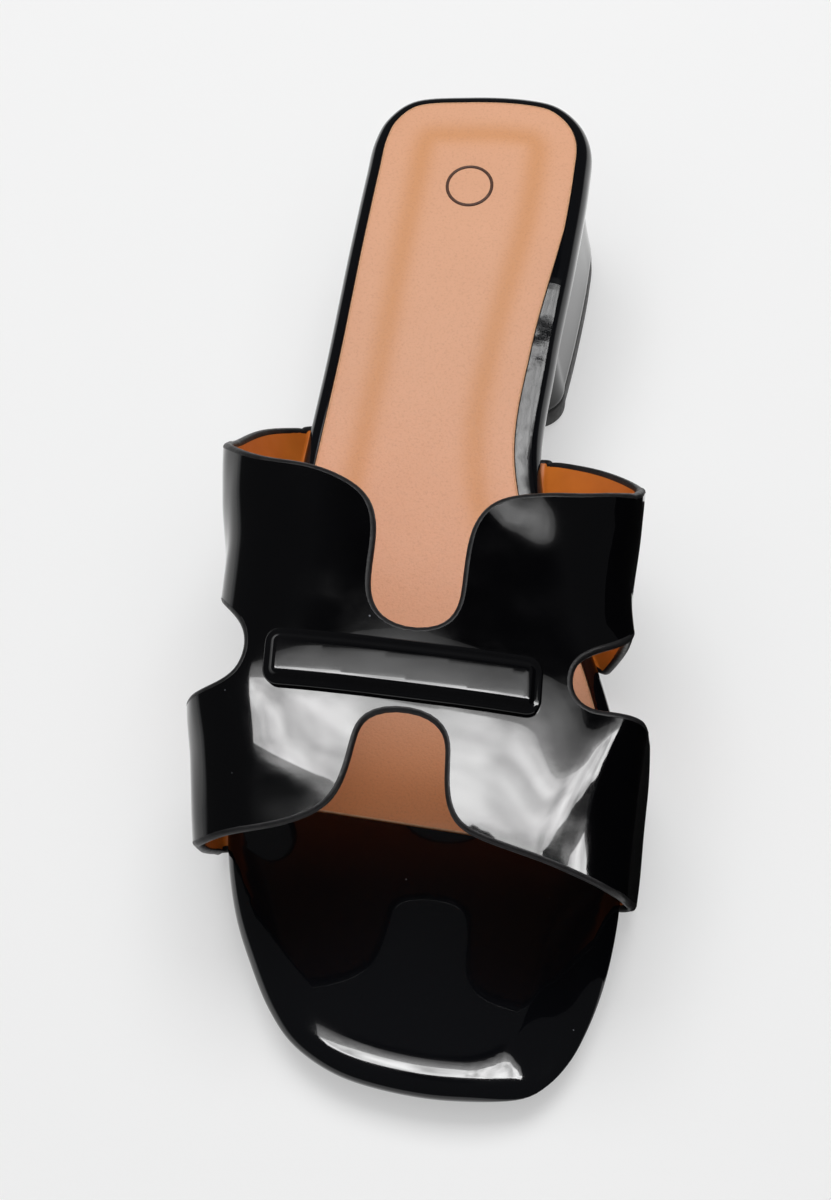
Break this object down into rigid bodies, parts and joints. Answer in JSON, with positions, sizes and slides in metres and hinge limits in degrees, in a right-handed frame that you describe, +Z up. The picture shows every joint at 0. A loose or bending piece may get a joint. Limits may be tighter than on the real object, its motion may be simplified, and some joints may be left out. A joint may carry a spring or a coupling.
{
  "type": "heeled slipper",
  "caption": "Square-toed slip-on slipper with a cut-out patent strap upper, tan sock, wrapped footbed and low block heel, right shoe.",
  "frame": {"origin": "under the middle of the shoe's box, on the surface that it stands on", "axes": "+Z up, -Y towards the toe, +X towards the medial side, which is the inner side of a right foot"},
  "size_m": [0.1016, 0.2524, 0.0696],
  "materials": {
    "black_patent": "high-gloss patent, smooth",
    "tan_sock": "satin with a fine grain",
    "sole_black": "matt with a fine tread grain",
    "heel_gloss": "polished"
  },
  "bodies": {
    "root": {"outsole": "sole_black", "heel_block": "heel_gloss", "heel_tip": "sole_black", "footbed": "black_patent", "insole_sock": "tan_sock", "upper": "black_patent", "vamp_plaque": "heel_gloss"}
  },
  "joints": []
}
